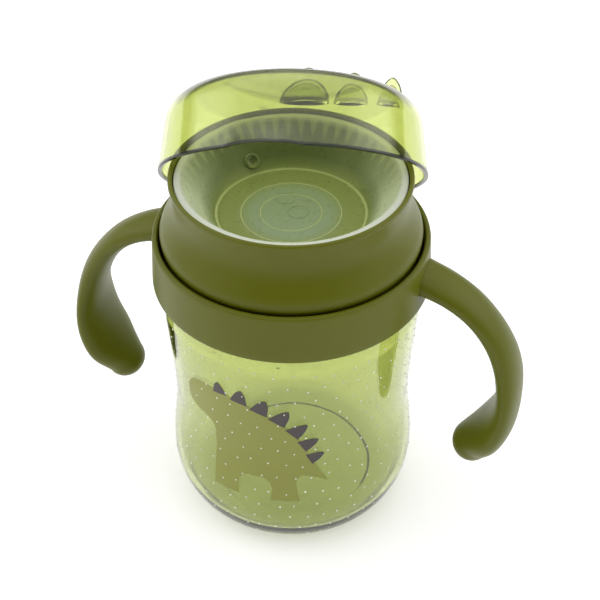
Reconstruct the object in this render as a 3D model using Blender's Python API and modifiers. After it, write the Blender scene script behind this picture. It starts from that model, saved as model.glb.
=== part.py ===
"""Sippy cup with a 360 degree drinking ring, a handle collar, a silicone valve and a travel cap.

Metres, +Z up, the cup's own axis on the Z axis, its base on z = 0, handles along X, front to -Y.
The travel cap leans on the back of the drinking ring.
"""
import math

import bmesh
import bpy
from mathutils import Matrix, Vector

# overall
GAP = 0.0003
SEGMENTS = 48
SOFT_STEPS = 2
SOFT_SHARE = 0.49
MERGE = 0.00001

# neck and its thread
NECK_R = 0.0315
NECK_WALL = 0.0019
NECK_HEIGHT = 0.0155
NECK_SLOPE = 0.0035
NECK_LIP_SOFT = 0.0008
THREAD_PITCH = 0.004
THREAD_DEPTH = 0.001
THREAD_FOOT = 0.0019
THREAD_CREST = 0.0009
THREAD_TURNS = 1.125
THREAD_RISE = 0.0065
THREAD_ROOT = 0.0005
THREAD_FADE = 0.06
THREAD_END = 0.1
THREAD_START = math.pi / SEGMENTS

# cup body: outside, from the neck out and from the shoulder in
SHOULDER_Z = 0.0808
SHOULDER_LEDGE = 0.0056
SHOULDER_SOFT = 0.0018
WAIST_IN = 0.00166
WAIST_Z = 0.041
BELLY_OUT = 0.002
BELLY_Z = 0.0166
BASE_ROUND = 0.01065
CURVE_STEPS = 5
SHOULDER_R = NECK_R + SHOULDER_LEDGE
WAIST_R = SHOULDER_R - WAIST_IN
BELLY_R = WAIST_R + BELLY_OUT
BASE_FLAT_R = BELLY_R - BASE_ROUND
# cup body: inside and base
WALL = 0.0018
FLOOR = 0.0038
FLOOR_SOFT = 0.006
FLOOR_RISE = 0.62
STANDING_WIDTH = 0.0016
RECESS_DEPTH = 0.0008
RECESS_R = BASE_FLAT_R - STANDING_WIDTH

# handle collar, around the ring's skirt
SKIRT_WALL = 0.0024
COLLAR_PLAY = 0.0013
COLLAR_WALL = 0.0017
COLLAR_DRAFT = 0.001
COLLAR_HEIGHT = 0.0143
COLLAR_TOP_WIDTH = 0.0014
COLLAR_FLANGE = 0.002
COLLAR_SOFT = 0.0007
RING_BORE_R = NECK_R + THREAD_DEPTH + GAP
SKIRT_R = RING_BORE_R + SKIRT_WALL
COLLAR_BORE_R = SKIRT_R + COLLAR_PLAY
COLLAR_TOP_R = COLLAR_BORE_R + COLLAR_WALL
COLLAR_BOTTOM_R = COLLAR_TOP_R + COLLAR_DRAFT
COLLAR_BOTTOM_Z = SHOULDER_Z + GAP
COLLAR_TOP_Z = COLLAR_BOTTOM_Z + COLLAR_HEIGHT
# a handle: out from the collar's lower edge, down from the collar's middle, half thickness, half width
HANDLE_STATIONS = (
    (-0.0020, 0.0000, 0.0039, 0.0069),
    (0.0056, 0.0027, 0.0034, 0.0067),
    (0.0125, 0.0070, 0.0033, 0.0066),
    (0.0182, 0.0130, 0.0034, 0.0066),
    (0.0225, 0.0201, 0.0036, 0.0071),
    (0.0252, 0.0279, 0.0036, 0.0085),
    (0.0262, 0.0360, 0.0036, 0.0106),
    (0.0254, 0.0441, 0.0043, 0.0113),
    (0.0225, 0.0516, 0.0052, 0.0108),
    (0.0180, 0.0585, 0.0060, 0.0068),
)
HANDLE_SIDES = 20
HANDLE_STEPS = 2
HANDLE_TIP = 0.006
TIP_STEPS = 4
TIP_CLOSE = 0.35

# drinking ring: on the neck, up out of the collar
RIM_OUT = 0.0011
RIM_RISE = 0.0185
RIM_WIDTH = 0.0012
RIM_SOFT = 0.0006
RING_WAIST_IN = 0.0007
RING_WAIST_DROP = 0.0065
RING_WAIST_SOFT = 0.0015
RING_WALL = 0.0019
RING_SEAM = 0.0008
RING_SHOULDER_RISE = 0.0015
RING_SOFT = 0.0005
RING_FLARE = ((0.33, 0.18), (0.6, 0.52), (0.8, 0.82), (1.0, 1.0))
SHELF_WIDTH = 0.0017
SHELF_THICKNESS = 0.002
LEDGE_DROP = 0.0028
RIM_R = NECK_R + RIM_OUT
RIM_TOP_Z = COLLAR_TOP_Z + RIM_RISE
INNER_RIM_R = RIM_R - RIM_WIDTH
RING_WAIST_R = RIM_R - RING_WAIST_IN
RING_BOWL_R = RING_WAIST_R - RING_WALL
RING_SHOULDER_R = COLLAR_TOP_R - COLLAR_TOP_WIDTH - RING_SEAM
SHELF_R = RING_BOWL_R - SHELF_WIDTH
SHELF_Z = SHOULDER_Z + NECK_HEIGHT + GAP

# silicone valve, inside the rim
LIP_DROP = 0.0011
LIP_WIDTH = 0.002
LIP_SOFT = 0.0004
VALVE_THICKNESS = 0.0012
VALVE_FLOOR_SOFT = 0.0012
FUNNEL_RUN = 0.0085
FUNNEL_DROP = 0.0121
STEM_R = 0.003
STEM_BULB_R = 0.0042
STEM_LENGTH = 0.0038
STEM_BULB_HEIGHT = 0.0016
VENT_R = 0.00215
VENT_TAPER = 0.9
VENT_HEIGHT = 0.0009
VENT_ANGLE = math.radians(138.0)
VENT_UP = 0.0023
VENT_HOLE_R = 0.0008
VENT_SIDES = 20
LIP_R = INNER_RIM_R - GAP
LIP_Z = RIM_TOP_Z - LIP_DROP
VALVE_FLOOR_R = LIP_R - LIP_WIDTH - FUNNEL_RUN
VALVE_FLOOR_Z = LIP_Z - FUNNEL_DROP
FUNNEL = Vector((FUNNEL_RUN, FUNNEL_DROP)).normalized()

# valve carrier, under the valve and on the ring's shelf
CARRIER_HUB = 0.0013
CARRIER_WALL = 0.001
CARRIER_FLANGE = 0.001
WINDOWS = 12
WINDOW_WIDTH = 0.0056
WINDOW_START = 0.0016
WINDOW_DEPTH = 0.004

# travel cap, in its own frame: opening on z = 0, closed end up
CAP_WALL = 0.0012
CAP_PLAY = 0.0007
CAP_DRAFT = 0.0024
CAP_HEADROOM = 0.0029
CAP_CORNER = 0.0088
CAP_CORNER_STEPS = 5
CAP_LEVELS = (0.25, 0.5, 0.65, 0.8, 0.9, 1.0)
CAP_TILT = math.radians(46.5)
CAP_BEARING = math.radians(17.0)
CAP_BACK_GAP = 0.0031
CAP_SEAT = 0.0006
CAP_MOUTH_R = RING_SHOULDER_R + CAP_PLAY + CAP_WALL
CAP_TOP_R = CAP_MOUTH_R - CAP_DRAFT
CAP_DEPTH = RIM_RISE + CAP_HEADROOM + CAP_WALL
TAB_OUT = 0.0034
TAB_HEIGHT = 0.0062
TAB_WIDTH = 0.0205
TAB_ANGLE = math.radians(-100.0)
TAB_ROUND = 0.8
TAB_CURL = 1.6
# fins on the cap: along X, along Y, half length, half thickness, height
FINS = (
    (0.0027, 0.0010, 0.0071, 0.0029, 0.0096),
    (0.0159, 0.0010, 0.0049, 0.0026, 0.0083),
    (0.0270, 0.0010, 0.0036, 0.0023, 0.0070),
)
FIN_WALL = 0.0013
FIN_SIDES = 16
FIN_RINGS = 10
FIN_TAPER = 0.3
FIN_POINT = 0.001
FIN_LEAN = 0.12
FIN_SINK = 0.8


def clear_scene():
    for found in list(bpy.data.objects):
        bpy.data.objects.remove(found, do_unlink=True)


def new_collection(name):
    made = bpy.data.collections.new(name)
    bpy.context.scene.collection.children.link(made)
    return made


def new_material(name, colour, roughness, transmission=0.0):
    made = bpy.data.materials.new(name)
    made.use_nodes = True
    shader = made.node_tree.nodes["Principled BSDF"]
    shader.inputs["Base Color"].default_value = (*colour, 1.0)
    shader.inputs["Roughness"].default_value = roughness
    shader.inputs["Transmission Weight"].default_value = transmission
    made.diffuse_color = (*colour, 1.0)
    return made


def new_object(name, mesh, collection, material=None):
    made = bpy.data.objects.new(name, mesh)
    collection.objects.link(made)
    if material:
        mesh.materials.append(material)
    return made


def smooth(mesh):
    for face in mesh.polygons:
        face.use_smooth = True


def add_modifier(target, name, kind):
    made = target.modifiers.new(name, kind)
    made.show_viewport = True
    made.show_render = True
    return made


def boolean(target, tool, operation):
    made = add_modifier(target, f"{operation.lower()}_{tool.name}", "BOOLEAN")
    made.operation = operation
    made.solver = "EXACT"
    made.object = tool
    return made


def softened(points, closed, steps=SOFT_STEPS):
    """The (r, z, soft) points as (r, z), each corner cut by a curve that starts soft away from it."""
    made = []
    count = len(points)
    for i, (r, z, soft) in enumerate(points):
        ends = not closed and i in (0, count - 1)
        if soft <= 0 or ends:
            made.append((r, z))
            continue
        here = Vector((r, z))
        before = Vector(points[i - 1][:2]) - here
        after = Vector(points[(i + 1) % count][:2]) - here
        start = here + before.normalized() * min(soft, before.length * SOFT_SHARE)
        end = here + after.normalized() * min(soft, after.length * SOFT_SHARE)
        for step in range(steps + 1):
            t = step / steps
            spot = start * (1 - t) ** 2 + here * 2 * t * (1 - t) + end * t * t
            made.append((spot.x, spot.y))
    return made


def turned(name, profile, closed, collection, material):
    """A profile of (r, z) turned about Z with a Screw modifier."""
    mesh = bpy.data.meshes.new(name)
    edges = [(i, i + 1) for i in range(len(profile) - 1)]
    if closed:
        edges.append((len(profile) - 1, 0))
    mesh.from_pydata([(r, 0.0, z) for r, z in profile], edges, [])
    made = new_object(name, mesh, collection, material)
    screw = add_modifier(made, "turn", "SCREW")
    screw.axis = "Z"
    screw.angle = math.tau
    screw.steps = SEGMENTS
    screw.render_steps = SEGMENTS
    screw.use_merge_vertices = True
    screw.merge_threshold = MERGE
    screw.use_smooth_shade = True
    return made


def eased(t):
    return t * t * (3 - 2 * t)


def thread(name, root_r, crest_r, start_z, turns, collection):
    """A screw thread ridge that winds up from start_z, from root_r to crest_r, fading out at both ends."""
    steps = round(SEGMENTS * turns)
    grow = bmesh.new()
    corners = (
        (root_r, -THREAD_FOOT / 2),
        (crest_r, -THREAD_CREST / 2),
        (crest_r, THREAD_CREST / 2),
        (root_r, THREAD_FOOT / 2),
    )
    verts = [grow.verts.new((r, 0.0, start_z + z)) for r, z in corners]
    face = grow.faces.new(verts)
    bmesh.ops.spin(
        grow,
        geom=[face, *face.edges, *verts],
        cent=(0.0, 0.0, 0.0),
        axis=(0.0, 0.0, 1.0),
        dvec=(0.0, 0.0, THREAD_PITCH * turns / steps),
        angle=math.tau * turns,
        steps=steps,
        use_duplicate=False,
    )
    climb = THREAD_PITCH * turns
    fade = climb * THREAD_FADE
    for vert in grow.verts:
        spot = vert.co
        radius = math.hypot(spot.x, spot.y)
        if abs(radius - crest_r) > abs(root_r - crest_r) / 2:
            continue
        turn = math.atan2(spot.y, spot.x) % math.tau / math.tau
        base = round((spot.z - start_z) / THREAD_PITCH - turn) + turn
        along = base * THREAD_PITCH
        share = min(1.0, THREAD_END + max(0.0, min(along, climb - along)) / fade)
        want = root_r + (crest_r - root_r) * share
        spot.x *= want / radius
        spot.y *= want / radius
    bmesh.ops.transform(grow, matrix=Matrix.Rotation(THREAD_START, 4, "Z"), verts=grow.verts)
    bmesh.ops.recalc_face_normals(grow, faces=grow.faces)
    mesh = bpy.data.meshes.new(name)
    grow.to_mesh(mesh)
    grow.free()
    return new_object(name, mesh, collection)


def body_radius(z):
    """The cup body's outside radius at height z, up to the shoulder."""
    if z < BELLY_Z:
        drop = (BELLY_Z - z) / BELLY_Z
        return BASE_FLAT_R + BASE_ROUND * math.sqrt(max(0.0, 1 - drop * drop))
    if z < WAIST_Z:
        return BELLY_R + (WAIST_R - BELLY_R) * eased((z - BELLY_Z) / (WAIST_Z - BELLY_Z))
    return WAIST_R + (SHOULDER_R - WAIST_R) * eased((z - WAIST_Z) / (SHOULDER_Z - WAIST_Z))


def levels_between(low, high):
    return [low + (high - low) * i / CURVE_STEPS for i in range(1, CURVE_STEPS + 1)]


def make_body(collection, tools, material):
    neck_top = SHOULDER_Z + NECK_HEIGHT
    slope_z = SHOULDER_Z - NECK_SLOPE - SHOULDER_LEDGE / 2
    bore = NECK_R - NECK_WALL
    inner = [(0.0, FLOOR, 0.0), (body_radius(FLOOR) - WALL, FLOOR, FLOOR_SOFT)]
    levels = [BELLY_Z * FLOOR_RISE, BELLY_Z, *levels_between(BELLY_Z, WAIST_Z)]
    levels += levels_between(WAIST_Z, slope_z)[:-1]
    inner += [(body_radius(z) - WALL, z, 0.0) for z in levels]
    inner += [
        (body_radius(slope_z) - WALL, slope_z, SHOULDER_SOFT),
        (bore, SHOULDER_Z - NECK_SLOPE / 2, SHOULDER_SOFT),
        (bore, neck_top, NECK_LIP_SOFT),
    ]
    outer = [
        (NECK_R, neck_top, NECK_LIP_SOFT),
        (NECK_R, SHOULDER_Z, 0.0),
        (SHOULDER_R, SHOULDER_Z, SHOULDER_SOFT),
    ]
    levels = levels_between(SHOULDER_Z, WAIST_Z) + levels_between(WAIST_Z, BELLY_Z)
    outer += [(body_radius(z), z, 0.0) for z in levels]
    for i in range(1, CURVE_STEPS):
        swing = math.pi / 2 * i / CURVE_STEPS
        outer.append((BASE_FLAT_R + BASE_ROUND * math.cos(swing), BELLY_Z * (1 - math.sin(swing)), 0.0))
    outer += [
        (BASE_FLAT_R, 0.0, 0.0),
        (RECESS_R, 0.0, 0.0),
        (RECESS_R - RECESS_DEPTH, RECESS_DEPTH, 0.0),
        (0.0, RECESS_DEPTH, 0.0),
    ]
    made = turned("cup_body", softened(inner + outer, False), False, collection, material)
    ridge = thread(
        "neck_thread",
        NECK_R - THREAD_ROOT,
        NECK_R + THREAD_DEPTH,
        SHOULDER_Z + THREAD_RISE,
        THREAD_TURNS,
        tools,
    )
    boolean(made, ridge, "UNION")
    return made


def catmull(points, steps):
    """Vectors along a smooth curve through the points, each span in so many steps."""
    spots = [Vector(p) for p in points]
    spots = [spots[0] * 2 - spots[1], *spots, spots[-1] * 2 - spots[-2]]
    made = []
    for i in range(1, len(spots) - 2):
        a, b, c, d = spots[i - 1 : i + 3]
        for step in range(steps):
            t = step / steps
            square = (a * 2 - b * 5 + c * 4 - d) * t * t
            cube = (b * 3 - a - c * 3 + d) * t**3
            made.append((b * 2 + (c - a) * t + square + cube) / 2)
    return [*made, spots[-2]]


def make_handle(name, side, tools):
    """One C-shaped handle: ellipses lofted along its centre line, closed by a round tip."""
    collar_middle = (COLLAR_BOTTOM_Z + COLLAR_TOP_Z) / 2
    stations = catmull(HANDLE_STATIONS, HANDLE_STEPS)
    rings = []
    for i, at in enumerate(stations):
        before = stations[max(i - 1, 0)]
        after = stations[min(i + 1, len(stations) - 1)]
        along = Vector((after[0] - before[0], 0.0, before[1] - after[1])).normalized()
        centre = Vector((COLLAR_BOTTOM_R + at[0], 0.0, collar_middle - at[1]))
        rings.append((centre, along, at[2], at[3]))
    centre, along, thick, wide = rings[-1]
    for step in range(1, TIP_STEPS + 1):
        swing = math.pi / 2 * step / (TIP_STEPS + TIP_CLOSE)
        shrink = math.cos(swing)
        further = centre + along * HANDLE_TIP * math.sin(swing)
        rings.append((further, along, thick * shrink, wide * shrink))
    grow = bmesh.new()
    loops = []
    for centre, along, thick, wide in rings:
        across = Vector((-along.z, 0.0, along.x))
        frame = Matrix((across * thick, Vector((0.0, wide, 0.0)), along)).transposed().to_4x4()
        made = bmesh.ops.create_circle(grow, segments=HANDLE_SIDES, radius=1.0)["verts"]
        bmesh.ops.transform(grow, matrix=Matrix.Translation(centre) @ frame, verts=made)
        loops.append([e for e in grow.edges if e.verts[0] in made and e.verts[1] in made])
    for lower, upper in zip(loops, loops[1:]):
        bmesh.ops.bridge_loops(grow, edges=lower + upper)
    bmesh.ops.holes_fill(grow, edges=loops[0])
    bmesh.ops.holes_fill(grow, edges=loops[-1])
    bmesh.ops.scale(grow, vec=(side, 1.0, 1.0), verts=grow.verts)
    bmesh.ops.recalc_face_normals(grow, faces=grow.faces)
    mesh = bpy.data.meshes.new(name)
    grow.to_mesh(mesh)
    grow.free()
    smooth(mesh)
    return new_object(name, mesh, tools)


def make_collar(collection, tools, material):
    flange_r = NECK_R + THREAD_DEPTH + 2 * GAP
    flange_z = COLLAR_BOTTOM_Z + COLLAR_FLANGE
    points = [
        (COLLAR_TOP_R - COLLAR_TOP_WIDTH, COLLAR_TOP_Z, COLLAR_SOFT / 2),
        (COLLAR_TOP_R, COLLAR_TOP_Z, COLLAR_SOFT),
        (COLLAR_BOTTOM_R, COLLAR_BOTTOM_Z, COLLAR_SOFT),
        (flange_r, COLLAR_BOTTOM_Z, 0.0),
        (flange_r, flange_z, 0.0),
        (COLLAR_BORE_R, flange_z, 0.0),
        (COLLAR_BORE_R, COLLAR_TOP_Z - COLLAR_TOP_WIDTH, 0.0),
    ]
    made = turned("handle_collar", softened(points, True), True, collection, material)
    for name, side in (("handle_right", 1.0), ("handle_left", -1.0)):
        boolean(made, make_handle(name, side, tools), "UNION")
    return made


def ring_points():
    """The drinking ring's corners: down its outside from the rim, then up its inside."""
    shoulder_z = COLLAR_TOP_Z + RING_SHOULDER_RISE
    waist_z = RIM_TOP_Z - RING_WAIST_DROP
    bottom = COLLAR_BOTTOM_Z + COLLAR_FLANGE + GAP
    ledge_z = RIM_TOP_Z - LEDGE_DROP
    points = [
        (INNER_RIM_R, RIM_TOP_Z, RIM_SOFT),
        (RIM_R, RIM_TOP_Z, RIM_SOFT),
        (RIM_R, RIM_TOP_Z - 2 * RIM_SOFT, RIM_SOFT),
        (RING_WAIST_R, waist_z, RING_WAIST_SOFT),
    ]
    for down, out in RING_FLARE:
        r = RING_WAIST_R + (RING_SHOULDER_R - RING_WAIST_R) * out
        points.append((r, waist_z + (shoulder_z - waist_z) * down, 0.0))
    points += [
        (RING_SHOULDER_R, COLLAR_TOP_Z - GAP, RING_SOFT),
        (SKIRT_R, COLLAR_TOP_Z - COLLAR_TOP_WIDTH, 0.0),
        (SKIRT_R, bottom, RING_SOFT),
        (RING_BORE_R, bottom, RING_SOFT),
        (RING_BORE_R, SHELF_Z, 0.0),
        (SHELF_R, SHELF_Z, 0.0),
        (SHELF_R, SHELF_Z + SHELF_THICKNESS, 0.0),
        (RING_BOWL_R, SHELF_Z + SHELF_THICKNESS, 0.0),
        (RING_BOWL_R, ledge_z, 0.0),
        (INNER_RIM_R, ledge_z, 0.0),
    ]
    return points


def make_ring(collection, tools, material):
    made = turned("drinking_ring", softened(ring_points(), True), True, collection, material)
    ridge = thread(
        "ring_thread",
        RING_BORE_R + THREAD_ROOT,
        RING_BORE_R - THREAD_DEPTH,
        SHOULDER_Z + THREAD_RISE - THREAD_PITCH / 2,
        1.0,
        tools,
    )
    boolean(made, ridge, "UNION")
    return made


def make_valve(collection, tools, material):
    below = Vector((FUNNEL.y, -FUNNEL.x)) * VALVE_THICKNESS
    top = Vector((LIP_R - LIP_WIDTH, LIP_Z)) + below
    foot = Vector((VALVE_FLOOR_R, VALVE_FLOOR_Z)) + below
    under = VALVE_FLOOR_Z - VALVE_THICKNESS
    bulb_z = under - STEM_LENGTH + STEM_BULB_HEIGHT
    points = [
        (0.0, VALVE_FLOOR_Z, 0.0),
        (VALVE_FLOOR_R, VALVE_FLOOR_Z, VALVE_FLOOR_SOFT),
        (LIP_R - LIP_WIDTH, LIP_Z, LIP_SOFT),
        (LIP_R, LIP_Z, LIP_SOFT),
        (LIP_R, LIP_Z - VALVE_THICKNESS, 0.0),
        (top.x, LIP_Z - VALVE_THICKNESS, 0.0),
        (foot.x - FUNNEL.x / FUNNEL.y * (foot.y - under), under, VALVE_THICKNESS / 2),
        (STEM_R, under, 0.0),
        (STEM_R, bulb_z, 0.0),
        (STEM_BULB_R, bulb_z, 0.0),
        (STEM_R, under - STEM_LENGTH, 0.0),
        (0.0, under - STEM_LENGTH, 0.0),
    ]
    made = turned("silicone_valve", softened(points, False), False, collection, material)
    vent_r = VALVE_FLOOR_R + VENT_UP
    vent_z = VALVE_FLOOR_Z + VENT_UP * FUNNEL.y / FUNNEL.x
    spot = Vector((vent_r * math.cos(VENT_ANGLE), vent_r * math.sin(VENT_ANGLE), vent_z))
    out = Vector((-FUNNEL.y * math.cos(VENT_ANGLE), -FUNNEL.y * math.sin(VENT_ANGLE), FUNNEL.x))
    turn = out.to_track_quat("Z", "Y").to_matrix().to_4x4()
    for name, radius, low, high, operation in (
        ("vent_boss", VENT_R, -VALVE_THICKNESS / 2, VENT_HEIGHT, "UNION"),
        ("vent_hole", VENT_HOLE_R, -2 * VALVE_THICKNESS, 2 * VENT_HEIGHT, "DIFFERENCE"),
    ):
        grow = bmesh.new()
        bmesh.ops.create_cone(
            grow,
            cap_ends=True,
            segments=VENT_SIDES,
            radius1=radius,
            radius2=radius * VENT_TAPER,
            depth=high - low,
        )
        shift = Matrix.Translation(spot) @ turn @ Matrix.Translation((0.0, 0.0, (low + high) / 2))
        bmesh.ops.transform(grow, matrix=shift, verts=grow.verts)
        mesh = bpy.data.meshes.new(name)
        grow.to_mesh(mesh)
        grow.free()
        boolean(made, new_object(name, mesh, tools), operation)
    return made


def make_carrier(collection, tools, material):
    """A cone that follows the valve's underside, on a skirt that stands on the ring's shelf."""
    out = Vector((FUNNEL.y, -FUNNEL.x))
    run = FUNNEL.x / FUNNEL.y
    upper = Vector((VALVE_FLOOR_R, VALVE_FLOOR_Z)) + out * (VALVE_THICKNESS + GAP)
    lower = upper + out * CARRIER_WALL
    hub_top = VALVE_FLOOR_Z - VALVE_THICKNESS - GAP
    hub_bottom = hub_top - CARRIER_HUB
    foot = SHELF_Z + SHELF_THICKNESS + GAP
    outside = RING_BOWL_R - GAP
    inside = outside - CARRIER_WALL
    flange_r = outside - CARRIER_FLANGE + GAP
    flange_z = upper.y + (flange_r - upper.x) / run
    points = [
        (STEM_R + GAP, hub_top, 0.0),
        (upper.x - run * (upper.y - hub_top), hub_top, 0.0),
        (flange_r, flange_z, 0.0),
        (outside, flange_z, 0.0),
        (outside, foot, 0.0),
        (inside, foot, 0.0),
        (inside, lower.y + (inside - lower.x) / run, 0.0),
        (lower.x - run * (lower.y - hub_bottom), hub_bottom, 0.0),
        (STEM_R + GAP, hub_bottom, 0.0),
    ]
    made = turned("valve_carrier", softened(points, True), True, collection, material)
    middle = VALVE_FLOOR_R + WINDOW_START + WINDOW_DEPTH / 2
    size = Matrix.Diagonal((WINDOW_DEPTH, WINDOW_WIDTH, LIP_Z - hub_bottom, 1.0))
    grow = bmesh.new()
    for i in range(WINDOWS):
        cube = bmesh.ops.create_cube(grow, size=1.0)["verts"]
        turn = Matrix.Rotation(math.tau * (i + 0.5) / WINDOWS, 4, "Z")
        place = turn @ Matrix.Translation((middle, 0.0, (LIP_Z + hub_bottom) / 2)) @ size
        bmesh.ops.transform(grow, matrix=place, verts=cube)
    mesh = bpy.data.meshes.new("carrier_windows")
    grow.to_mesh(mesh)
    grow.free()
    boolean(made, new_object("carrier_windows", mesh, tools), "DIFFERENCE")
    return made


def fin(name, place, shrink, sink, tools):
    """A rounded fin on the cap's closed end; shrink makes the smaller one that hollows it."""
    x, y, half_long, half_thick, height = place
    half_long -= shrink
    half_thick -= shrink
    height -= shrink * 2
    grow = bmesh.new()
    made = bmesh.ops.create_uvsphere(grow, u_segments=FIN_SIDES, v_segments=FIN_RINGS, radius=1.0)["verts"]
    for vert in made:
        spot = vert.co
        rise = spot.z
        if rise < -FIN_POINT:
            spot.z = -sink
        else:
            narrow = max(1 - rise, FIN_POINT) ** FIN_TAPER
            spot.x *= narrow
            spot.y *= narrow
            spot.z = rise * height
        spot.x = x + spot.x * half_long + FIN_LEAN * max(spot.z, 0.0)
        spot.y = y + spot.y * half_thick
        spot.z += CAP_DEPTH
    bmesh.ops.remove_doubles(grow, verts=grow.verts, dist=2 * MERGE)
    bmesh.ops.recalc_face_normals(grow, faces=grow.faces)
    mesh = bpy.data.meshes.new(name)
    grow.to_mesh(mesh)
    grow.free()
    smooth(mesh)
    return new_object(name, mesh, tools)


def cap_shell():
    """The cap's outside as a mesh: a turned cup, its edge pulled out into a thumb tab at one side."""
    profile = [
        (0.0, CAP_DEPTH, 0.0),
        (CAP_TOP_R, CAP_DEPTH, CAP_CORNER),
        (CAP_MOUTH_R, 0.0, 0.0),
    ]
    outline = softened(profile, False, CAP_CORNER_STEPS)
    side_r, side_z = outline[-2]
    outline[-1:] = [
        (side_r + (CAP_MOUTH_R - side_r) * share, side_z * (1 - share)) for share in CAP_LEVELS
    ]
    grow = bmesh.new()
    verts = [grow.verts.new((r, 0.0, z)) for r, z in outline]
    edges = [grow.edges.new(pair) for pair in zip(verts, verts[1:])]
    bmesh.ops.spin(
        grow,
        geom=[*verts, *edges],
        cent=(0.0, 0.0, 0.0),
        axis=(0.0, 0.0, 1.0),
        angle=math.tau,
        steps=SEGMENTS,
        use_merge=True,
    )
    bmesh.ops.remove_doubles(grow, verts=grow.verts, dist=MERGE)
    half = TAB_WIDTH / CAP_MOUTH_R / 2
    for vert in grow.verts:
        spot = vert.co
        turn = (math.atan2(spot.y, spot.x) - TAB_ANGLE + math.pi) % math.tau - math.pi
        if abs(turn) >= half or spot.z >= TAB_HEIGHT:
            continue
        across = math.cos(turn / half * math.pi / 2) ** TAB_ROUND
        flare = TAB_OUT * across * (1 - spot.z / TAB_HEIGHT) ** TAB_CURL
        stretch = 1 + flare / math.hypot(spot.x, spot.y)
        spot.x *= stretch
        spot.y *= stretch
    bmesh.ops.recalc_face_normals(grow, faces=grow.faces)
    mesh = bpy.data.meshes.new("travel_cap")
    grow.to_mesh(mesh)
    grow.free()
    smooth(mesh)
    return mesh


def cap_place():
    """The leaning cap: its edge hangs behind the body, and it rests on what the ring touches first.

    That is the inside of its closed end, or its edge where the ring is outside its mouth.
    """
    tilt = Matrix.Rotation(CAP_BEARING, 4, "Z") @ Matrix.Rotation(-CAP_TILT, 4, "X")
    sine = math.sin(CAP_TILT)
    cosine = math.cos(CAP_TILT)
    inner_depth = CAP_DEPTH - CAP_WALL
    inner_mouth_r = CAP_MOUTH_R - CAP_WALL
    edge_past_rim = (SHOULDER_R + CAP_BACK_GAP - RIM_R + inner_depth * sine) / cosine
    centre_y = RIM_R * cosine - RIM_TOP_Z * sine + edge_past_rim - inner_mouth_r
    along = []
    for r, z in softened(ring_points(), True):
        for i in range(SEGMENTS):
            turn = math.tau * i / SEGMENTS
            spot = tilt.transposed() @ Vector((r * math.cos(turn), r * math.sin(turn), z))
            inside = math.hypot(spot.x, spot.y - centre_y) < inner_mouth_r
            along.append(spot.z + CAP_SEAT - (inner_depth if inside else 0.0))
    return tilt @ Matrix.Translation((0.0, centre_y, max(along)))


def make_cap(collection, tools, material):
    place = cap_place()
    made = new_object("travel_cap", cap_shell(), collection, material)
    shell = add_modifier(made, "wall", "SOLIDIFY")
    shell.thickness = CAP_WALL
    shell.offset = -1.0
    shell.use_even_offset = True
    outers = [fin(f"fin_{i + 1}", at, 0.0, CAP_WALL * FIN_SINK, tools) for i, at in enumerate(FINS)]
    hollows = [
        fin(f"fin_hollow_{i + 1}", at, FIN_WALL, 2 * CAP_WALL, tools) for i, at in enumerate(FINS)
    ]
    for group, operation in ((outers, "UNION"), (hollows, "DIFFERENCE")):
        for tool in group:
            tool.matrix_world = place
            boolean(made, tool, operation)
    made.matrix_world = place
    return made


def main():
    clear_scene()
    parts = new_collection("sippy_cup")
    tools = new_collection("cutters")
    clear = new_material("clear_copolyester", (0.55, 0.68, 0.25), 0.05, 0.9)
    cap_clear = new_material("clear_cap_plastic", (0.55, 0.68, 0.25), 0.05, 0.9)
    olive = new_material("collar_polypropylene", (0.12, 0.13, 0.02), 0.45)
    ring_olive = new_material("ring_polypropylene", (0.12, 0.13, 0.02), 0.4)
    silicone = new_material("silicone", (0.4, 0.45, 0.33), 0.4)
    carrier = new_material("carrier_polypropylene", (0.25, 0.28, 0.08), 0.4)
    make_body(parts, tools, clear)
    make_collar(parts, tools, olive)
    make_ring(parts, tools, ring_olive)
    make_valve(parts, tools, silicone)
    make_carrier(parts, tools, carrier)
    make_cap(parts, tools, cap_clear)
    for tool in tools.objects:
        tool.hide_render = True
        tool.display_type = "WIRE"
    bpy.context.view_layer.update()


main()
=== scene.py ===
import math
import random

import bmesh
import bpy
from mathutils import Matrix, Vector


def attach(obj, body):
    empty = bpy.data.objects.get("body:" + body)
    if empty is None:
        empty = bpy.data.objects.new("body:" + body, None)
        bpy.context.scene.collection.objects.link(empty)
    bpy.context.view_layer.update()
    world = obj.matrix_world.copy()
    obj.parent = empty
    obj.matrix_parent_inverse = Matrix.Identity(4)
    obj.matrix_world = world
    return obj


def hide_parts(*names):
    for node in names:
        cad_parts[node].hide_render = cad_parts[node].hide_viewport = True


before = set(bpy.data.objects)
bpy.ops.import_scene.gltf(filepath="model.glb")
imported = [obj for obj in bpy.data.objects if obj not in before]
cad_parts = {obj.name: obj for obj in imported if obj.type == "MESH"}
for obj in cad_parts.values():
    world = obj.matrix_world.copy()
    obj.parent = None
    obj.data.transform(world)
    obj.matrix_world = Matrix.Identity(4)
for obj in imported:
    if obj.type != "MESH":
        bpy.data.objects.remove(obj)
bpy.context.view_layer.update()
mm = 0.001
print("frame loaded:", sorted(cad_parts))


def linear(hexColour, alpha=1.0):
    made = []
    for i in (1, 3, 5):
        value = int(hexColour[i : i + 2], 16) / 255
        made.append(value / 12.92 if value <= 0.04045 else ((value + 0.055) / 1.055) ** 2.4)
    return (*made, alpha)


# adds a node: settings are its sockets or its own properties, links are sockets fed by other nodes' outputs
def addNode(tree, kind, settings=None, links=None):
    node = tree.nodes.new(kind)
    for key, value in (settings or {}).items():
        if isinstance(key, int) or key in node.inputs:
            node.inputs[key].default_value = value
        else:
            setattr(node, key, value)
    for key, source in (links or {}).items():
        tree.links.new(source, node.inputs[key])
    return node


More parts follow.
